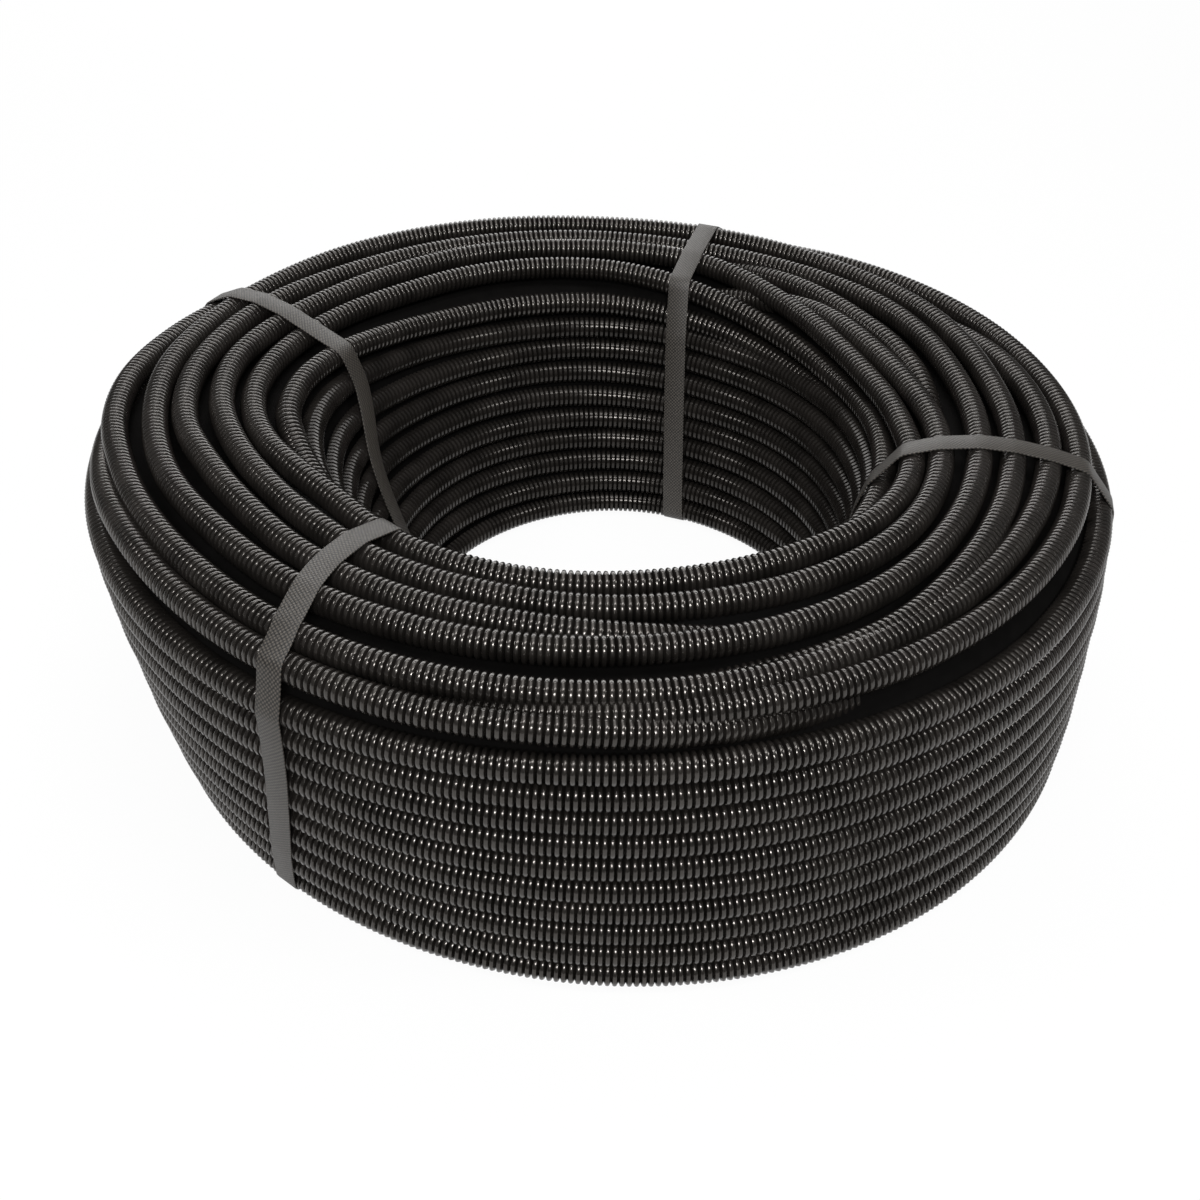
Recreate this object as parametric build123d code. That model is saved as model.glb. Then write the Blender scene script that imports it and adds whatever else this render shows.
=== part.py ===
from build123d import *
import os

# A coil of corrugated conduit that lies flat, its axis upright, tied by four flat plastic straps.
# Lengths are in millimetres. The origin is on the floor, on the coil's axis.

# The conduit and the rows in which it is wound
conduitDiameter = 13.0
rowPitch = 13.1
rowCount = 11
topTurnCount = 7
floorTurnCount = 10

# The coil's outline, measured over the crests of its turns. The turns on top lie apart, so the
# grooves between them are nearly as deep as the conduit is thick.
outerRadius = 252.0
outerTaper = 10.0
topEdgeInset = 9.0
boreTopRadius = 136.0
boreFloorRadius = 107.0
topCrown = 11.0
wallGrooveDepth = 4.5
floorGrooveDepth = 7.5
topGrooveShare = 0.85

# The straps, with the place of each one round the axis as a share of a turn from +X
strapWidth = 12.0
strapThickness = 0.7
frontLeftStrapShare = 0.657
rightStrapShare = 0.965
backStrapShare = 0.203
backLeftStrapShare = 0.442
strapSweepDegrees = 12

turnRadius = conduitDiameter / 2
floorRowHeight = strapThickness + turnRadius
topRowHeight = floorRowHeight + (rowCount - 1) * rowPitch
outerRowRadius = outerRadius - turnRadius
boreTopRowRadius = boreTopRadius + turnRadius
boreFloorRowRadius = boreFloorRadius + turnRadius
wallGrooveRise = turnRadius - wallGrooveDepth
floorGrooveRise = turnRadius - floorGrooveDepth
topGrooveRise = turnRadius - conduitDiameter * topGrooveShare


def blend(start, end, step, stepCount):
    return start + (end - start) * step / stepCount


def outerTurns():
    # The wall leans in towards the floor, faster near the bottom.
    lastRow = rowCount - 2
    return [
        (outerRowRadius - outerTaper * (1 - row / lastRow) ** 2, floorRowHeight + row * rowPitch)
        for row in range(lastRow + 1)
    ]


def topTurns():
    # The turns on the top end lie over a crown, with gaps between them.
    last = topTurnCount - 1
    return [
        (
            blend(outerRowRadius - topEdgeInset, boreTopRowRadius, turn, last),
            topRowHeight + topCrown * 4 * turn * (last - turn) / last ** 2,
        )
        for turn in range(topTurnCount)
    ]


def boreTurns():
    # The bore narrows evenly from the top row to the floor.
    lastRow = rowCount - 1
    return [
        (blend(boreFloorRowRadius, boreTopRowRadius, row, lastRow), floorRowHeight + row * rowPitch)
        for row in reversed(range(lastRow))
    ]


def floorTurns():
    # The turns on the lower end lie flat, between the two corner turns.
    last = floorTurnCount - 1
    return [
        (blend(boreFloorRowRadius, outerRowRadius - outerTaper, turn, last), floorRowHeight)
        for turn in range(1, last)
    ]


def turnSections():
    centres = outerTurns() + topTurns() + boreTurns() + floorTurns()
    return [Pos(radius, height) * Circle(turnRadius) for radius, height in centres]


def coreSection():
    # A plain core fills the section up to the grooves between neighbouring turns.
    corners = [(radius + wallGrooveRise, height) for radius, height in outerTurns()]
    corners += [(radius, height + topGrooveRise) for radius, height in topTurns()]
    corners += [(radius - wallGrooveRise, height) for radius, height in boreTurns()]
    corners += [(radius, height - floorGrooveRise) for radius, height in floorTurns()]
    return make_face(Polyline(corners, close=True))


def buildCoil():
    section = coreSection() + turnSections()
    return revolve(Plane.XZ * section, Axis.Z, 360)


def strapLoop():
    # A strap is pulled tight over the crests. All turns are equally thick, so its path round them
    # is the polygon through the centres of the outermost ones, grown by a turn's radius.
    corners = outerTurns() + topTurns() + boreTurns()[-1:]
    centres = make_face(Polyline(corners, close=True))
    return offset(centres, turnRadius + strapThickness) - offset(centres, turnRadius)


def buildStrap(turnShare):
    # The band bends with the coil and keeps its width from the bore to the outer wall.
    band = revolve(Plane.XZ * strapLoop(), Axis.Z, strapSweepDegrees)
    reach = outerRadius * 2
    band = Rot(0, 0, -strapSweepDegrees / 2) * band & Pos(outerRadius, 0) * Box(reach, strapWidth, reach)
    return Rot(0, 0, 360 * turnShare) * band


os.makedirs("parts", exist_ok=True)
export_step(buildCoil(), "parts/conduit_coil.step")
export_step(buildStrap(frontLeftStrapShare), "parts/strap_front_left.step")
export_step(buildStrap(rightStrapShare), "parts/strap_right.step")
export_step(buildStrap(backStrapShare), "parts/strap_back.step")
export_step(buildStrap(backLeftStrapShare), "parts/strap_back_left.step")
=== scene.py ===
import bpy, bmesh, math
from mathutils import Matrix
import numpy as np


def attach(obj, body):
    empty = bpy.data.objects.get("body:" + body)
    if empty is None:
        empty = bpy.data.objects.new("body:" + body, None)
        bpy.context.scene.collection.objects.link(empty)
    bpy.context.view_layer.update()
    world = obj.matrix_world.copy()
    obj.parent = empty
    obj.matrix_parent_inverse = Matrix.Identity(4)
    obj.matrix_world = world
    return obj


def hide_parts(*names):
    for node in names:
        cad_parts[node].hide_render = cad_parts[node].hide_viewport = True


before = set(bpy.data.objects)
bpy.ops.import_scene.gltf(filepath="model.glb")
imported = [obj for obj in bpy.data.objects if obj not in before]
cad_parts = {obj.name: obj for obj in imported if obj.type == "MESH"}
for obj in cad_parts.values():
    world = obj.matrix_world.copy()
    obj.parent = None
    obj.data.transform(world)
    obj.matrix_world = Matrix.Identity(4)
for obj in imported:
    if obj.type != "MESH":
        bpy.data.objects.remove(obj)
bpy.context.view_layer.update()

mm = 0.001  # the values below are in millimetres and degrees, and meshes get metres

# Sizes shared by the pieces

conduit = {
    "radius": 6.5,
    "ribPitch": 3.02,
    # the rings of a rib as (share of the pitch, depth below the crest); near turns get a rounded crest
    "nearRings": ((0.0, 0.28), (0.26, 0.0), (0.52, 0.28), (0.76, 1.8)),
    "farRings": ((0.0, 0.0), (0.52, 0.0), (0.76, 1.7)),
    "crispAngle": 0.75,  # in radians; a rib's edges that turn by more are shaded sharp
}

coil = {
    "floorRowHeight": 7.2,
    "rowPitch": 13.1,
    "lastWallRow": 9,
    "lastBoreRow": 8,
    "middleHeight": 72.7,
    "lean": (-0.102, -0.006),  # how far the coil leans along x and y as it rises
}


def glide(stops, azimuth):  # a smooth value through (azimuth, value) stops
    places = np.array([s[0] for s in stops], float)
    values = np.array([s[1] for s in stops], float)
    slopes = np.gradient(values, places)
    k = np.clip(np.searchsorted(places, azimuth, side="right") - 1, 0, len(places) - 2)
    gap = places[k + 1] - places[k]
    t = (azimuth - places[k]) / gap
    return (values[k] * (1 + 2 * t) * (1 - t) ** 2 + slopes[k] * gap * t * (1 - t) ** 2
            + values[k + 1] * t * t * (3 - 2 * t) + slopes[k + 1] * gap * t * t * (t - 1))


def glideRound(stops, azimuth):  # the same for stops that close into a ring
    around = [(a - 360, v) for a, v in stops] + list(stops) + [(a + 360, v) for a, v in stops]
    return glide(around, (azimuth + 180) % 360 - 180)


def sway(waves, azimuth, turn):  # a slight waviness, from (size, waves round the coil, shift a turn)
    return sum(size * np.sin(np.radians(azimuth * count + turn * shift)) for size, count, shift in waves)


def placed(azimuth, radius, height):  # a point of the leaning coil
    a = np.radians(azimuth)
    rise = height - coil["middleHeight"]
    return np.stack([radius * np.cos(a) + coil["lean"][0] * rise,
                     radius * np.sin(a) + coil["lean"][1] * rise, height + 0 * a], -1)


# Making a ribbed turn

def wrappedGrid(mesh, columns, rows, place, crisp=math.pi, groove=None):
    # a flat grid, each of whose points is moved to place(column, row), added to mesh with merged seams;
    # edges that turn by more than crisp are shaded sharp, and groove is each column's share of the depth
    grid = bmesh.new()
    bmesh.ops.create_grid(grid, x_segments=columns, y_segments=rows, size=1.0)
    flat = np.array([v.co[:2] for v in grid.verts])
    column = np.rint((flat[:, 0] + 1) / 2 * columns).astype(int)
    row = np.rint((flat[:, 1] + 1) / 2 * rows).astype(int)
    for vert, point in zip(grid.verts, place(column, row) * mm):
        vert.co = point
    if groove is not None:
        layer = grid.verts.layers.float.new("groove")
        for vert, k in zip(grid.verts, column):
            vert[layer] = groove[k]
    bmesh.ops.remove_doubles(grid, verts=grid.verts, dist=0.01 * mm)
    bmesh.ops.holes_fill(grid, edges=[e for e in grid.edges if e.is_boundary], sides=0)
    bmesh.ops.recalc_face_normals(grid, faces=grid.faces)
    for face in grid.faces:
        face.smooth = True
    for edge in grid.edges:
        edge.smooth = edge.calc_face_angle(0) < crisp
    holder = bpy.data.meshes.new("holder")
    grid.to_mesh(holder)
    grid.free()
    mesh.from_mesh(holder)
    bpy.data.meshes.remove(holder)


def ribbedTurn(mesh, line, start, end, facing, spread, sides, profile):
    # the ribs face the open side of the turn, and a flat strip closes it on the hidden side
    azimuth = np.linspace(start, end, 1441)  # fine enough to measure the turn's length
    centre = placed(azimuth, *line(azimuth))
    length = np.concatenate([[0], np.cumsum(np.linalg.norm(np.diff(centre, axis=0), axis=1))])
    ribs = int(round(length[-1] / conduit["ribPitch"]))
    shares, depths = np.array(profile).T
    rings = np.append((np.arange(ribs)[:, None] + shares).ravel(), ribs) * length[-1] / ribs
    reach = conduit["radius"] - np.append(np.tile(depths, ribs), depths[0])
    groove = (conduit["radius"] - reach) / depths.max()
    ringCentre = np.stack([np.interp(rings, length, centre[:, k]) for k in range(3)], -1)
    ringAzimuth = np.interp(rings, length, azimuth)
    nudge = 0.2  # degrees either way, to find the line's direction
    before = placed(ringAzimuth - nudge, *line(ringAzimuth - nudge))
    after = placed(ringAzimuth + nudge, *line(ringAzimuth + nudge))
    along = after - before
    along /= np.linalg.norm(along, axis=1)[:, None]
    side = np.cross(along, [0, 0, 1])
    side /= np.linalg.norm(side, axis=1)[:, None]
    up = np.cross(side, along)
    corners = [facing - spread / 2 + spread * k / sides for k in range(sides + 1)]
    angles = np.radians(corners + corners[:1])

    def place(column, row):
        a = angles[row][:, None]
        outwards = np.cos(a) * side[column] + np.sin(a) * up[column]
        return ringCentre[column] + reach[column][:, None] * outwards
    wrappedGrid(mesh, len(rings) - 1, sides + 1, place, crisp=conduit["crispAngle"], groove=groove)


def finishPiece(name, mesh, material, nodes):
    data = bpy.data.meshes.new(name)
    mesh.to_mesh(data)
    mesh.free()
    data.materials.append(material)
    piece = bpy.data.objects.new(name, data)
    bpy.context.scene.collection.objects.link(piece)
    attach(piece, "root")
    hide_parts(*nodes)
    print(name, "has", sum(len(p.vertices) - 2 for p in data.polygons), "triangles")
    return piece


# Materials

def newMaterial(name):
    material = bpy.data.materials.new(name)
    material.use_nodes = True
    return material, material.node_tree.nodes, material.node_tree.links


def addNode(nodes, kind, values=None):  # a node, with plain values on some of its sockets
    node = nodes.new(kind)
    for socket, value in (values or {}).items():
        node.inputs[socket].default_value = value
    return node


def addRamp(nodes, *stops):  # a colour ramp of two stops, each as (position, colour)
    ramp = nodes.new("ShaderNodeValToRGB")
    for stop, (position, colour) in zip(ramp.color_ramp.elements, stops):
        stop.position = position
        stop.color = colour
    return ramp


def glossyBlackPlastic(name, crestGloss, shadedGrooveGloss):
    look = {
        "dark": (0.0075, 0.0066, 0.0059, 1),
        "light": (0.0150, 0.0131, 0.0117, 1),
        "warmLightTint": (1.0, 0.94, 0.88, 1),
        "smoothest": 0.16,
        "roughest": 0.26,
        "cloudScale": 55,
        "grainScale": 900,
        "grainDepth": 0.15 * mm,
        "crestUpTo": 0.16,  # shares of the groove's depth, between which the gloss falls off into a painted shade in the grooves
        "grooveFrom": 0.6,
    }
    material, nodes, links = newMaterial(name)
    shader = nodes["Principled BSDF"]
    # a warm tint on every reflection, a painted warm light
    shader.inputs["Specular Tint"].default_value = look["warmLightTint"]
    where = addNode(nodes, "ShaderNodeTexCoord")
    cloud = addNode(nodes, "ShaderNodeTexNoise", {"Scale": look["cloudScale"], "Detail": 4})
    links.new(where.outputs["Object"], cloud.inputs["Vector"])
    tone = addRamp(nodes, (0.35, look["dark"]), (0.68, look["light"]))
    links.new(cloud.outputs["Fac"], tone.inputs["Fac"])
    links.new(tone.outputs["Color"], shader.inputs["Base Color"])
    grain = addNode(nodes, "ShaderNodeTexNoise", {"Scale": look["grainScale"], "Detail": 3})
    links.new(where.outputs["Object"], grain.inputs["Vector"])
    polish = addNode(nodes, "ShaderNodeMapRange", {
        "To Min": look["smoothest"], "To Max": look["roughest"],
    })
    links.new(grain.outputs["Fac"], polish.inputs["Value"])
    links.new(polish.outputs["Result"], shader.inputs["Roughness"])
    bump = addNode(nodes, "ShaderNodeBump", {"Strength": 0.12, "Distance": look["grainDepth"]})
    links.new(grain.outputs["Fac"], bump.inputs["Height"])
    links.new(bump.outputs["Normal"], shader.inputs["Normal"])
    # painted shade: the specular level falls from the crests into the grooves, standing in for the
    # grooves' own shadow
    depth = addNode(nodes, "ShaderNodeAttribute")
    depth.attribute_name = "groove"
    gloss = addNode(nodes, "ShaderNodeMapRange", {
        "From Min": look["crestUpTo"], "From Max": look["grooveFrom"],
        "To Min": crestGloss, "To Max": shadedGrooveGloss,
    })
    links.new(depth.outputs["Fac"], gloss.inputs["Value"])
    links.new(gloss.outputs["Result"], shader.inputs["Specular IOR Level"])
    return material


def shadedBlack():
    # a darker, duller black than the turns' own plastic: a painted shade for the inner turns seen through
    # the gaps
    look = {"dark": (0.0020, 0.0018, 0.0017, 1), "light": (0.0045, 0.0041, 0.0039, 1), "cloudScale": 120}
    material, nodes, links = newMaterial("shadeBlackCorePlastic")
    shader = nodes["Principled BSDF"]
    shader.inputs["Roughness"].default_value = 0.9
    shader.inputs["Specular IOR Level"].default_value = 0.05
    where = addNode(nodes, "ShaderNodeTexCoord")
    cloud = addNode(nodes, "ShaderNodeTexNoise", {"Scale": look["cloudScale"]})
    links.new(where.outputs["Object"], cloud.inputs["Vector"])
    tone = addRamp(nodes, (0.0, look["dark"]), (1.0, look["light"]))
    links.new(cloud.outputs["Fac"], tone.inputs["Fac"])
    links.new(tone.outputs["Color"], shader.inputs["Base Color"])
    return material


def embossedStrap():
    # the emboss is a grid of small pads set cornerwise, painted dark in the hollows between them as a
    # painted shade
    look = {
        "dark": (0.006, 0.0052, 0.0044, 1),
        "light": (0.078, 0.0680, 0.0570, 1),
        "padsPerMetre": 720,
        "padTurn": math.radians(45),
        "padUnevenness": 0.12,
        "padDepth": 0.2 * mm,
    }
    material, nodes, links = newMaterial("strapPlastic")
    shader = nodes["Principled BSDF"]
    shader.inputs["Roughness"].default_value = 0.5
    where = addNode(nodes, "ShaderNodeUVMap")
    where.uv_map = "strapMap"
    turned = addNode(nodes, "ShaderNodeMapping", {
        "Rotation": (0, 0, look["padTurn"]), "Scale": (look["padsPerMetre"],) * 3,
    })
    links.new(where.outputs["UV"], turned.inputs["Vector"])
    pads = addNode(nodes, "ShaderNodeTexVoronoi", {"Scale": 1.0, "Randomness": look["padUnevenness"]})
    links.new(turned.outputs["Vector"], pads.inputs["Vector"])
    # painted shade: dark in the hollows between the pads, the strap's own grey on the pads
    tone = addRamp(nodes, (0.14, look["light"]), (0.52, look["dark"]))
    links.new(pads.outputs["Distance"], tone.inputs["Fac"])
    links.new(tone.outputs["Color"], shader.inputs["Base Color"])
    bump = addNode(nodes, "ShaderNodeBump", {"Strength": 0.9, "Distance": look["padDepth"]})
    bump.invert = True
    links.new(pads.outputs["Distance"], bump.inputs["Height"])
    links.new(bump.outputs["Normal"], shader.inputs["Normal"])
    return material


blackPlastic = glossyBlackPlastic("conduitPlastic", crestGloss=0.68, shadedGrooveGloss=0.05)
shadedBorePlastic = glossyBlackPlastic("shadedBorePlastic", crestGloss=0.32, shadedGrooveGloss=0.04)  # a duller copy of the same plastic, a painted shade on the bore's rows
shadeBlackCorePlastic = shadedBlack()
strapPlastic = embossedStrap()

# The rows of the outer wall, in two pieces

wall = {
    "radius": 245.5,
    "footInset": 10,  # the wall leans in towards its foot
    "frontRadius": 237.2,  # where the front is pressed flatter
    # how much of the flattening each azimuth gets
    "frontFlat": [
        (-180, 0.0), (-150, 0.12), (-110, 0.62), (-89, 1.0), (-62, 0.95), (-35, 0.45), (-10, 0.05),
        (60, 0.0), (120, 0.0),
    ],
    # how far the top row rises at the back
    "backRise": [
        (-180, 0.0), (-90, 0.0), (0, 0.0), (40, 0.2), (65, 1.6), (90, 2.6), (115, 2.4), (135, 0.8),
        (155, 0.0),
    ],
    "waves": ((0.5, 3, 75), (0.4, 5, 140)),
    "radiusWave": 0.5,
    "sides": 8,
    "spread": 210,
    "cornerSpread": 240,
    "cornerFacing": {0: -25, 9: 35},  # the lowest and the highest row also show from below and above
}


def wallRow(row):
    last = coil["lastWallRow"]
    plain = wall["radius"] - wall["footInset"] * (1 - row / last) ** 2

    def line(azimuth):
        flat = glideRound(wall["frontFlat"], azimuth)
        wave = sway(wall["waves"], azimuth, row)
        height = coil["floorRowHeight"] + coil["rowPitch"] * row + wave * row / last
        if row == last:
            height = height + glideRound(wall["backRise"], azimuth)
        return plain + flat * (wall["frontRadius"] - plain) + wall["radiusWave"] * wave, height
    return line


print("outer wall")
for name, rows in (("lowerWallTurns", range(0, 5)), ("upperWallTurns", range(5, 10))):
    mesh = bmesh.new()
    for row in rows:
        facing = wall["cornerFacing"].get(row, 0)
        spread = wall["cornerSpread"] if row in wall["cornerFacing"] else wall["spread"]
        ribbedTurn(mesh, wallRow(row), 90, 450, facing, spread, wall["sides"], conduit["nearRings"])
    finishPiece(name, mesh, blackPlastic, ["conduit_coil"])

# The conduit's runs over the top, each a list of (azimuth, radius, height) of its centre line.
# A run is wound round the coil until its two ends dip under its neighbours.

topRuns = {
    "innerRun": [
        (-344, 140, 113), (-330, 140, 114), (-314, 140, 117), (-298, 141, 122), (-282, 141.5, 126),
        (-268, 142, 128.5), (-250, 142, 129.5), (-230, 142.5, 131), (-212, 146, 135),
        (-198, 151, 138.5), (-184, 155.5, 139.5), (-174, 155.5, 138.5), (-164, 150.5, 134),
        (-152, 145.5, 129.5), (-136, 142, 126.5), (-110, 141.5, 125.5), (-70, 141.5, 125.5),
        (-30, 142, 126), (-8, 142, 127.5), (8, 142, 127.5), (20, 142, 126.5), (32, 142, 127.5),
        (44, 142.5, 131), (56, 143.5, 135.5), (68, 146, 140), (80, 151.5, 142.5), (92, 158, 143),
        (104, 161.5, 143), (118, 163, 143), (134, 163, 143), (150, 168, 143), (164, 172.5, 143),
        (176, 174, 143), (186, 171.5, 143), (196, 165, 143), (206, 156, 143), (216, 149, 141.5),
        (232, 147.5, 140), (248, 145.5, 139.5), (264, 143.5, 139), (280, 141.5, 138.5),
        (296, 143.5, 139), (310, 149, 141), (322, 155, 142.5), (334, 157.5, 143), (346, 155.5, 143),
        (356, 150.5, 143), (366, 147, 143), (376, 144.5, 143), (388, 145.5, 143), (400, 151, 143),
        (412, 159, 143.5), (422, 167.5, 144.5), (432, 174, 146), (444, 175.5, 147), (458, 177, 147),
        (474, 180, 147), (492, 179.5, 147), (506, 181, 147), (520, 186, 147), (534, 189.5, 147),
        (546, 186, 147), (558, 178.5, 147), (570, 172, 147), (582, 168.5, 147), (598, 167.5, 146),
        (616, 165.5, 145.5), (632, 165.5, 145), (646, 167.5, 146), (660, 170.5, 146.5), (676, 173, 147),
        (690, 172.5, 147), (704, 169.5, 147), (716, 165.5, 147), (728, 160, 147), (742, 157, 147),
        (754, 158.5, 146.5), (764, 161.5, 144), (776, 161, 138.5), (788, 158.5, 132), (802, 158, 124),
    ],
    "buriedRun": [
        (-8, 165, 132), (4, 168, 139), (13, 170, 144), (22, 170, 146.5), (34, 170.5, 147),
        (44, 173, 147), (54, 177, 145.5), (64, 181, 142), (74, 183, 137), (84, 183, 131),
    ],
    "middleRun": [
        (-82, 206, 133), (-74, 208.5, 139.5), (-65, 211.5, 144), (-54, 212, 146.5), (-44, 208.5, 148),
        (-32, 204.5, 148), (-18, 202.5, 148), (-4, 202.5, 148), (10, 203.5, 148), (22, 207, 148),
        (34, 209, 148), (44, 208, 148), (58, 207, 148.5), (74, 207, 148.7), (92, 208.5, 148),
        (108, 211, 148.3), (122, 213.5, 148.3), (136, 216, 148), (150, 218, 147), (164, 219.5, 147),
        (178, 219, 148), (190, 215.5, 148), (204, 211, 148.5), (218, 205, 149), (234, 203, 149),
        (250, 200, 149), (266, 197.5, 149), (280, 195.5, 149), (296, 195, 149), (312, 193, 149),
        (326, 190, 149), (340, 187.5, 149), (356, 186, 149), (370, 186, 149), (384, 189, 149),
        (394, 190.5, 149), (406, 189, 148.5), (420, 187.5, 147.5), (436, 187.5, 147), (452, 189.5, 147),
        (468, 192, 147), (484, 193, 147.5), (500, 195.5, 148), (514, 201, 148.5), (528, 203.5, 149),
        (540, 204, 149), (552, 200.5, 149), (564, 192, 149), (576, 187, 149), (590, 186, 148.5),
        (606, 184.5, 148), (622, 183, 147.5), (634, 183.5, 145.5), (644, 183.5, 141), (656, 186, 134),
    ],
    "outerRun": [
        (-112, 224, 132), (-100, 224.5, 137.5), (-88, 225, 141), (-74, 225.5, 143), (-60, 227, 143.5),
        (-44, 228, 143), (-30, 229.5, 142), (-16, 232.5, 141), (0, 236, 141), (14, 237, 141),
        (28, 236.5, 141), (40, 232.5, 141.5), (52, 227, 141.5), (64, 222, 140), (78, 220.5, 137),
        (92, 221, 136), (108, 223.5, 135.5), (124, 226.5, 135.5), (138, 229.5, 136), (152, 233, 138),
        (166, 236.5, 141), (178, 238.5, 143), (188, 236, 144), (198, 230.5, 145), (210, 226, 146),
        (224, 222.5, 146), (240, 222.5, 146.5), (256, 220.5, 146), (270, 219, 146), (286, 217.5, 146),
        (300, 216, 146), (316, 215, 146), (330, 215.5, 145.5), (344, 218, 145), (358, 221, 145),
        (370, 221.5, 144.5), (380, 221.5, 142), (390, 221, 137), (400, 220, 131),
    ],
    "edgeRun": [
        (64, 233, 128), (90, 233, 127.5), (130, 235, 127.5), (160, 239, 128.5), (174, 240.5, 131),
        (188, 240.5, 135), (200, 239, 139.5), (212, 236, 142), (226, 234.5, 141.5), (240, 235, 142),
        (254, 234, 141), (266, 232.5, 140.5), (276, 230.5, 138), (286, 227, 134), (298, 222, 130),
    ],
}

# each visible piece, with its stretches of the runs as (run, start, end, where its ribs face)
topPieces = {
    "boreEdgeTurns": [("innerRun", -344, 80, 150)],
    "innerTopTurns": [("innerRun", 80, 440, 105), ("buriedRun", -8, 84, 90)],
    "middleTopTurns": [("innerRun", 440, 802, 90)],
    "outerTopTurns": [("middleRun", -82, 278, 90)],
    "upperTopTurns": [("middleRun", 278, 656, 90)],
    "edgeTopTurns": [("outerRun", -112, 400, 80), ("edgeRun", 64, 298, 70)],
}

topShape = (310, 12)  # how far the ribs spread round a turn, and how many sides they have


def topLine(run):
    radii = [(a, r) for a, r, h in topRuns[run]]
    heights = [(a, h) for a, r, h in topRuns[run]]
    return lambda azimuth: (glide(radii, azimuth), glide(heights, azimuth))


print("top")
for name, stretches in topPieces.items():
    mesh = bmesh.new()
    for run, start, end, facing in stretches:
        spread, sides = topShape
        ribbedTurn(mesh, topLine(run), start, end, facing, spread, sides, conduit["nearRings"])
    finishPiece(name, mesh, blackPlastic, ["conduit_coil"])

# The rows of the bore

bore = {
    "footRadius": 113.5,
    "topRadius": 142.5,
    "rowsToTop": 10,
    "extraPitch": 0.16,
    "waves": ((0.6, 2, 95), (0.4, 5, 50)),
    "radiusWave": 0.8,
    # at the left the upper rows follow the turn that climbs on to the top, wider and higher by this much
    "leftFlare": {
        8: (10, 13.5), 7: (7, 10.5), 6: (4.8, 8), 5: (3.2, 6), 4: (2, 4.2), 3: (1, 2.7), 2: (0.5, 1.6),
        1: (0, 0.8),
    },
    "leftFlareShare": [
        (-180, 1.0), (-166, 0.9), (-150, 0.5), (-135, 0.15), (-115, 0.0), (-90, 0.0), (-45, 0.0),
        (0, 0.0), (60, 0.0), (80, 0.08), (98, 0.17), (125, 0.3), (150, 0.55), (168, 0.9),
    ],
    "sides": 7,
    # where the ribs face and how far they spread round each turn
    "shape": (180, 200),
    "cornerShape": {0: (210, 240), 8: (160, 240)},
}


def boreRow(row):
    plain = bore["footRadius"] + (bore["topRadius"] - bore["footRadius"]) * row / bore["rowsToTop"]
    wider, higher = bore["leftFlare"].get(row, (0, 0))

    def line(azimuth):
        wave = sway(bore["waves"], azimuth, row)
        flare = glideRound(bore["leftFlareShare"], azimuth)
        pitch = coil["rowPitch"] + bore["extraPitch"]
        height = coil["floorRowHeight"] + pitch * row + wave * row / coil["lastWallRow"]
        return plain + bore["radiusWave"] * wave + wider * flare, height + higher * flare
    return line


print("bore")
mesh = bmesh.new()
for row in range(coil["lastBoreRow"] + 1):
    facing, spread = bore["cornerShape"].get(row, bore["shape"])
    ribbedTurn(mesh, boreRow(row), -90, 270, facing, spread, bore["sides"], conduit["farRings"])
finishPiece("boreTurns", mesh, shadedBorePlastic, ["conduit_coil"])

# The turns underneath, between the lowest rows of the bore and the wall

under = {
    "innerRadius": 113.5,
    "outerRadius": 235.5,
    "gapCount": 9,
    "waves": ((0.8, 2, 80), (0.5, 3, 130)),
    "sides": 5,
    "spread": 180,
}


def floorTurn(turn):
    breadth = under["outerRadius"] - under["innerRadius"]
    plain = under["innerRadius"] + breadth * turn / under["gapCount"]

    def line(azimuth):
        return plain + sway(under["waves"], azimuth, turn), coil["floorRowHeight"] + 0 * azimuth
    return line


print("underneath")
mesh = bmesh.new()
for turn in range(1, under["gapCount"]):
    ribbedTurn(mesh, floorTurn(turn), 90, 450, -90, under["spread"], under["sides"], conduit["farRings"])
finishPiece("floorTurns", mesh, blackPlastic, ["conduit_coil"])

# The hidden body of the coil, seen only through the gaps between turns; its darker, duller plastic is a
# painted shade

hiddenBody = {
    "depth": 9.0,  # below the centre lines of the top turns
    "steps": 180,
    "topPoints": 20,
    "wallInset": 1.5,  # from the centre lines of the wall's and the bore's rows
    "outerTopInset": 7,
    "innerTopInset": 8,
}

highTurns = 100  # turns above this height shape the top


def bends(a, b, c):  # above 0 where the way from a over b to c bends to the left
    return (b[0] - a[0]) * (c[1] - a[1]) - (b[1] - a[1]) * (c[0] - a[0])


def hullOf(points):
    points = sorted(set((round(x, 4), round(y, 4)) for x, y in points))

    def half(run):
        kept = []
        for p in run:
            while len(kept) > 1 and bends(kept[-2], kept[-1], p) <= 0:
                kept.pop()
            kept.append(p)
        return kept[:-1]
    return half(points) + half(points[::-1])


def sectionCentres(azimuth):
    # the turns' centres at one azimuth, from the floor up the wall, over the top and down the bore
    centres = [wallRow(row)(azimuth) for row in range(coil["lastWallRow"] + 1)]
    top = []
    buriedEnd = 10  # degrees at each end of a run that dip under its neighbours
    for run, stops in topRuns.items():
        for a in (azimuth - 360, azimuth, azimuth + 360, azimuth + 720):
            if stops[0][0] + buriedEnd < a < stops[-1][0] - buriedEnd:
                top.append(topLine(run)(np.float64(a)))
    centres += sorted(top, key=lambda c: -c[0])
    centres += [boreRow(row)(azimuth) for row in range(coil["lastBoreRow"], -1, -1)]
    return [(float(r), float(h)) for r, h in centres]


def crownHeight(radius, azimuth):  # how high a taut skin over the top turns' centre lines lies
    high = [c for c in sectionCentres(azimuth) if c[1] > highTurns]
    feet = [(min(high)[0], 0.0), (max(high)[0], 0.0)]
    crown = sorted(p for p in hullOf(high + feet) if p[1] > highTurns)
    return np.interp(radius, [p[0] for p in crown], [p[1] for p in crown])


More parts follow.
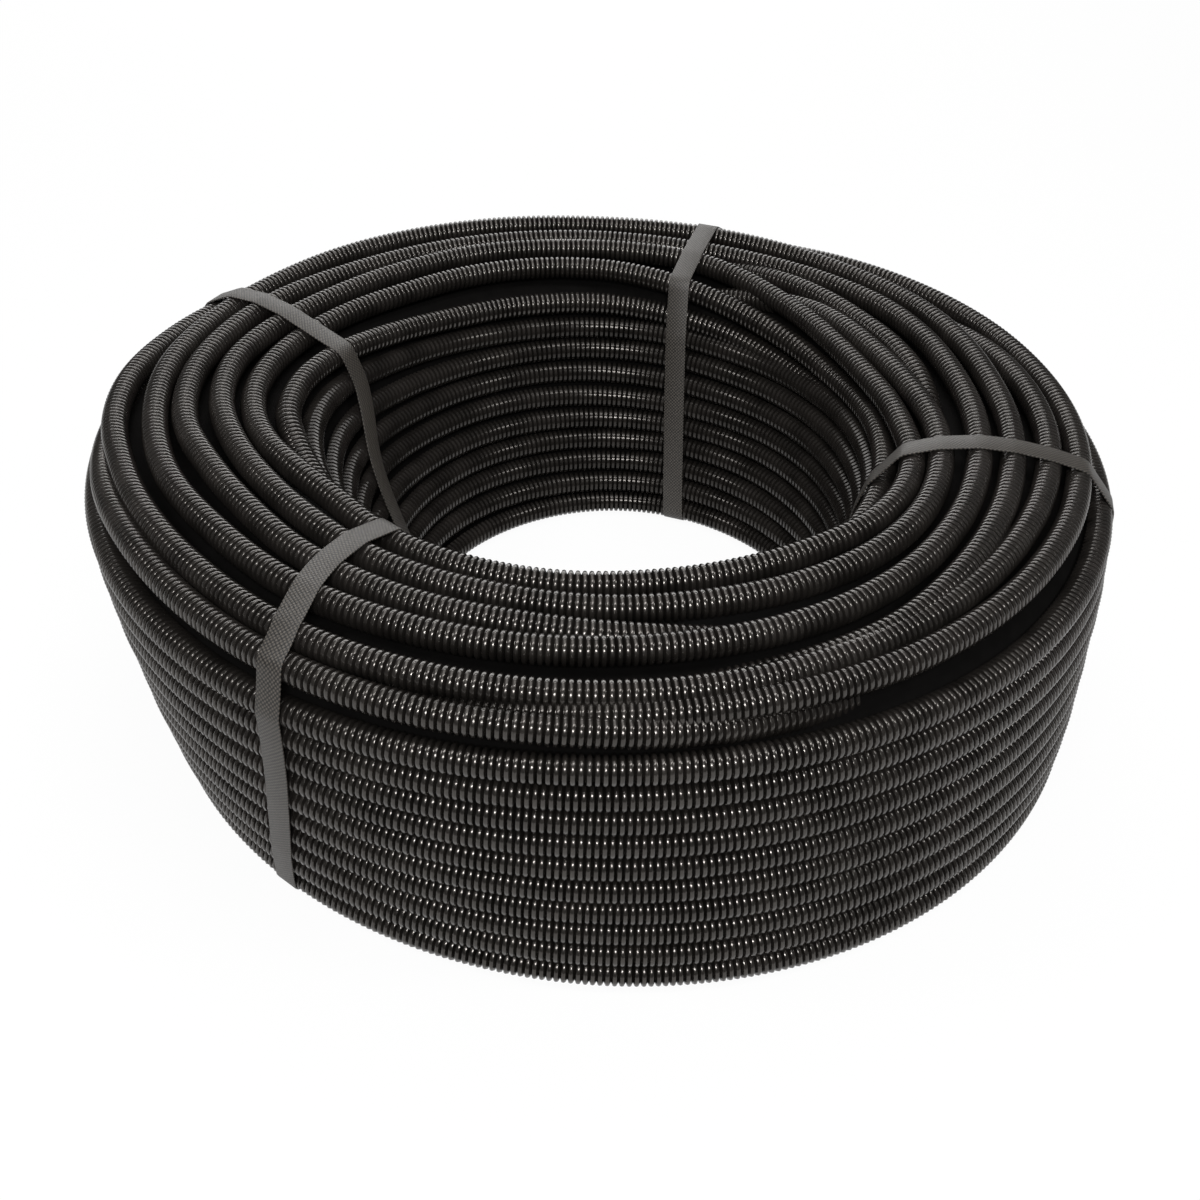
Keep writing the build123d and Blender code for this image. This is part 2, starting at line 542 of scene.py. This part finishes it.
def coreSection(azimuth):
    inset = hiddenBody["wallInset"]
    wallLine = [wallRow(row)(azimuth) for row in range(coil["lastWallRow"])]
    boreLine = [boreRow(row)(azimuth) for row in range(coil["lastBoreRow"], -1, -1)]
    outer = wallLine[-1][0] - hiddenBody["outerTopInset"]
    inner = boreLine[0][0] + hiddenBody["innerTopInset"]
    across = np.linspace(outer, inner, hiddenBody["topPoints"])
    crown = list(zip(across, crownHeight(across, azimuth) - hiddenBody["depth"]))
    section = [(r - inset, h) for r, h in wallLine] + crown + [(r + inset, h) for r, h in boreLine]
    return [placed(azimuth, np.float64(r), np.float64(h)) for r, h in section]


print("hidden core")
mesh = bmesh.new()
steps = hiddenBody["steps"]
core = np.array([coreSection(np.float64(-180 + 360 * step / steps)) for step in range(steps + 1)])
ringSize = core.shape[1]
wrappedGrid(mesh, steps, ringSize, lambda column, row: core[column % steps, row % ringSize])
finishPiece("hiddenCore", mesh, shadeBlackCorePlastic, ["conduit_coil"])

# Straps

straps = {
    "width": 12.0,
    "thickness": 0.7,
    "floorGap": 0.1,
    "edgeRound": 0.15,
    "stationCount": 220,
    # a strap follows its bore side up to the first radius and its wall side from the second, and likewise
    # leaves its sides at the first height and is wholly on top from the second
    "sideRadii": (140, 230),
    "sideHeights": (120, 145),
    # azimuths low in the bore, at the bore's edge, on top, at the top edge and at the wall's foot
    "places": {
        "strap_front_left": (-129, -129, -125, -120, -127),
        "strap_right": (-17, -17, -13, -11, -12),
        "strap_back": (73, 73, 73, 73, 73),
        "strap_back_left": (175, 162, 158, 156, 156),
    },
}


def strapLoop(azimuth):
    # the taut line over all turns of the section, as its stations, radii and heights
    reach = conduit["radius"] + straps["thickness"] * 0.5
    rim = [(r + reach * math.cos(math.radians(t)), h + reach * math.sin(math.radians(t)))
           for r, h in sectionCentres(np.float64(azimuth)) for t in range(0, 360, 12)]
    loop = np.array(hullOf(rim))
    loop = np.concatenate([loop, loop[:1]])
    length = np.concatenate([[0], np.cumsum(np.linalg.norm(np.diff(loop, axis=0), axis=1))])
    stations = np.linspace(0, length[-1], straps["stationCount"] + 1)
    return stations, np.interp(stations, length, loop[:, 0]), np.interp(stations, length, loop[:, 1])


def share(value, limits):  # 0 at the first limit and 1 at the second
    return np.clip((value - limits[0]) / (limits[1] - limits[0]), 0, 1)


def strapAzimuth(name, r, h):
    # the strap strays a little round the coil, with the radius on top and with the height on its sides
    low, inner, top, edge, foot = straps["places"][name]
    midway = low + (inner - low) * 0.35
    onTop = glide([(130, inner), (185, top), (245, edge), (260, edge)], np.clip(r, 131, 259))
    outside = glide([(0, foot), (125, edge), (160, edge)], np.clip(h, 0, 159))
    inside = glide([(0, low), (90, midway), (125, inner), (160, inner)], np.clip(h, 0, 159))
    below = inside + (outside - inside) * share(r, straps["sideRadii"])
    high = share(h, straps["sideHeights"])
    return onTop * high + below * (1 - high)


def strapBand(name):
    stations, r, h = strapLoop(straps["places"][name][2])
    azimuth = strapAzimuth(name, r, h)
    middle = placed(azimuth, r, h + straps["floorGap"])
    along = np.roll(middle[:-1], -1, axis=0) - np.roll(middle[:-1], 1, axis=0)
    along = np.concatenate([along, along[:1]])
    along /= np.linalg.norm(along, axis=1)[:, None]
    across = np.stack([-np.sin(np.radians(azimuth)), np.cos(np.radians(azimuth)), 0 * azimuth], -1)
    across -= along * np.sum(across * along, axis=1)[:, None]
    across /= np.linalg.norm(across, axis=1)[:, None]
    out = np.cross(along, across)
    half = straps["width"] / 2
    lift = straps["thickness"] / 2
    lower = [(-half, -lift), (half, -lift)]
    upper = [(half, lift), (0, lift), (-half, lift)]
    corners = np.array(lower + upper + lower[:1])

    def place(column, row):
        return middle[column] + across[column] * corners[row, :1] + out[column] * corners[row, 1:]
    mesh = bmesh.new()
    wrappedGrid(mesh, straps["stationCount"], len(corners) - 1, place)
    rims = [e for e in mesh.edges if e.calc_face_angle(0) > 1.0]
    bmesh.ops.bevel(mesh, geom=rims, offset=straps["edgeRound"] * mm, segments=2, profile=0.5,
                    affect="EDGES", material=-1)
    # the emboss follows the band: metres along it and across it
    layer = mesh.loops.layers.uv.new("strapMap")
    near = middle * mm
    for face in mesh.faces:
        centre = np.array(face.calc_center_median())
        k = int(np.argmin(np.sum((near - centre) ** 2, axis=1)))
        for loop in face.loops:
            away = np.array(loop.vert.co) - near[k]
            loop[layer].uv = (stations[k] * mm + float(away @ along[k]), float(away @ across[k]))
    finishPiece(name + "_band", mesh, strapPlastic, [name])


print("straps")
for name in straps["places"]:
    strapBand(name)

# Floor and light

studio = {
    "floorSize": 8.0,
    "floorWhite": 0.80,
    "floorGlow": 0.94,
    "worldStrength": 0.15,
    "aimHeight": 0.07,
    # place and size in metres, and watts
    "lamps": {
        "softBox": ((0.0, 0.25, 1.6), (0.9, 0.9), 5),
        "topLamp": ((0.15, -0.4, 1.5), (0.8, 0.18), 7),
        "backBox": ((-0.25, 1.7, 0.8), (2.1, 0.8), 17),
        "backLamp": ((-0.1, 1.05, 1.45), (0.8, 0.14), 3.5),
        "frontLamp": ((0.0, -1.35, 1.2), (0.6, 0.15), 19),
        "leftLamp": ((-0.9, -0.3, 1.1), (0.2, 0.2), 3),
        "rightLamp": ((0.9, -0.3, 1.1), (0.2, 0.2), 3),
    },
}


def paleFloor():  # a matte floor that looks an even white where it is seen directly
    material, nodes, links = newMaterial("floorWhite")
    shader = nodes["Principled BSDF"]
    shader.inputs["Base Color"].default_value = (studio["floorWhite"],) * 3 + (1,)
    shader.inputs["Roughness"].default_value = 0.9
    shader.inputs["Specular IOR Level"].default_value = 0.0
    glow = addNode(nodes, "ShaderNodeEmission")
    seen = addNode(nodes, "ShaderNodeLightPath")
    direct = addNode(nodes, "ShaderNodeMath")
    direct.operation = "ADD"
    links.new(seen.outputs["Is Camera Ray"], direct.inputs[0])
    links.new(seen.outputs["Is Glossy Ray"], direct.inputs[1])
    through = addNode(nodes, "ShaderNodeMath")
    through.operation = "ADD"
    links.new(direct.outputs["Value"], through.inputs[0])
    links.new(seen.outputs["Is Transmission Ray"], through.inputs[1])
    amount = addNode(nodes, "ShaderNodeMath", {1: studio["floorGlow"]})
    amount.operation = "MULTIPLY"
    links.new(through.outputs["Value"], amount.inputs[0])
    mix = addNode(nodes, "ShaderNodeMixShader")
    links.new(amount.outputs["Value"], mix.inputs["Fac"])
    links.new(shader.outputs["BSDF"], mix.inputs[1])
    links.new(glow.outputs["Emission"], mix.inputs[2])
    links.new(mix.outputs["Shader"], nodes["Material Output"].inputs["Surface"])
    return material


def buildStudio():
    bpy.ops.mesh.primitive_plane_add(size=studio["floorSize"])
    floor = bpy.context.object
    floor.name = "studioFloor"
    floor.data.materials.append(paleFloor())

    world = bpy.data.worlds.new("studioWorld")
    bpy.context.scene.world = world
    world.use_nodes = True
    back = world.node_tree.nodes["Background"]
    back.inputs["Color"].default_value = (1, 1, 1, 1)
    back.inputs["Strength"].default_value = studio["worldStrength"]

    for name, (place, size, watts) in studio["lamps"].items():
        lamp = bpy.data.lights.new(name, "AREA")
        lamp.shape = "RECTANGLE"
        lamp.energy = watts
        lamp.size, lamp.size_y = size
        holder = bpy.data.objects.new(name, lamp)
        holder.location = place
        aim = -holder.location
        aim.z += studio["aimHeight"]
        holder.rotation_euler = aim.to_track_quat("-Z", "Y").to_euler()
        bpy.context.scene.collection.objects.link(holder)


# Camera

view = {
    "distance": 0.756,
    "elevation": 0.6135,  # in radians, as the roll is
    "roll": 0.0394,
    "aimHeight": 0.0727,
    "lens": 42.70,
    "sensor": 36,
    "shift": (-0.0089, -0.0669),
    "clip": (0.02, 30),
}


def buildCamera():
    data = bpy.data.cameras.new("photoCamera")
    data.lens = view["lens"]
    data.sensor_width = view["sensor"]
    data.shift_x, data.shift_y = view["shift"]
    data.clip_start, data.clip_end = view["clip"]
    camera = bpy.data.objects.new("photoCamera", data)
    back = math.cos(view["elevation"]) * view["distance"]
    up = math.sin(view["elevation"]) * view["distance"]
    camera.location = (0, -back, up + view["aimHeight"])
    camera.rotation_mode = "XYZ"
    aim = -camera.location
    aim.z += view["aimHeight"]
    pose = aim.to_track_quat("-Z", "Y").to_matrix() @ Matrix.Rotation(view["roll"], 3, "Z")
    camera.rotation_euler = pose.to_euler()
    bpy.context.scene.collection.objects.link(camera)
    bpy.context.scene.camera = camera


print("studio")
buildStudio()
buildCamera()
bpy.context.scene.view_settings.view_transform = "Standard"
